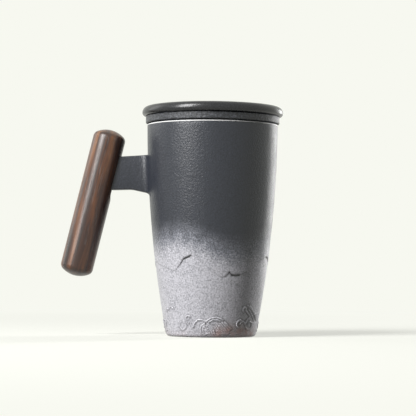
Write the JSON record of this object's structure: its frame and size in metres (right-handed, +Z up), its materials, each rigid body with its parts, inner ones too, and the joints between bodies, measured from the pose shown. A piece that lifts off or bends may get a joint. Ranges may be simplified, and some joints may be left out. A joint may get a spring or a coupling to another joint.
{
  "type": "lidded tea mug with infuser",
  "caption": "Tapered stoneware tea mug with a hanging perforated infuser, a lift-off beaded lid and a leaning wooden side grip on a ceramic tab.",
  "frame": {"origin": "middle of the cup's flat foot, on the cup's axis", "axes": "+Z up the cup's axis, -X towards the wooden grip, Y front to back"},
  "size_m": [0.138, 0.0882, 0.1429],
  "materials": {
    "rough_glaze": "rough dark glaze that fades to silver grey at the foot",
    "infuser_glaze": "rough dark glaze",
    "lid_glaze": "satin dark glaze",
    "walnut": "satin oiled dark wood",
    "epoxy": "cured dark epoxy"
  },
  "bodies": {
    "mug": {"mug_body": "rough_glaze", "handle_grip": "walnut", "handle_adhesive": "epoxy"},
    "infuser": {"infuser": "infuser_glaze"},
    "lid": {"lid": "lid_glaze"}
  },
  "joints": [
    {"name": "infuser_lift", "type": "slide", "parent": "mug", "child": "infuser", "axis": [0, 0, 1], "range_m": [0, 0.095]},
    {"name": "lid_lift", "type": "slide", "parent": "infuser", "child": "lid", "axis": [0, 0, 1], "range_m": [0, 0.03]}
  ]
}
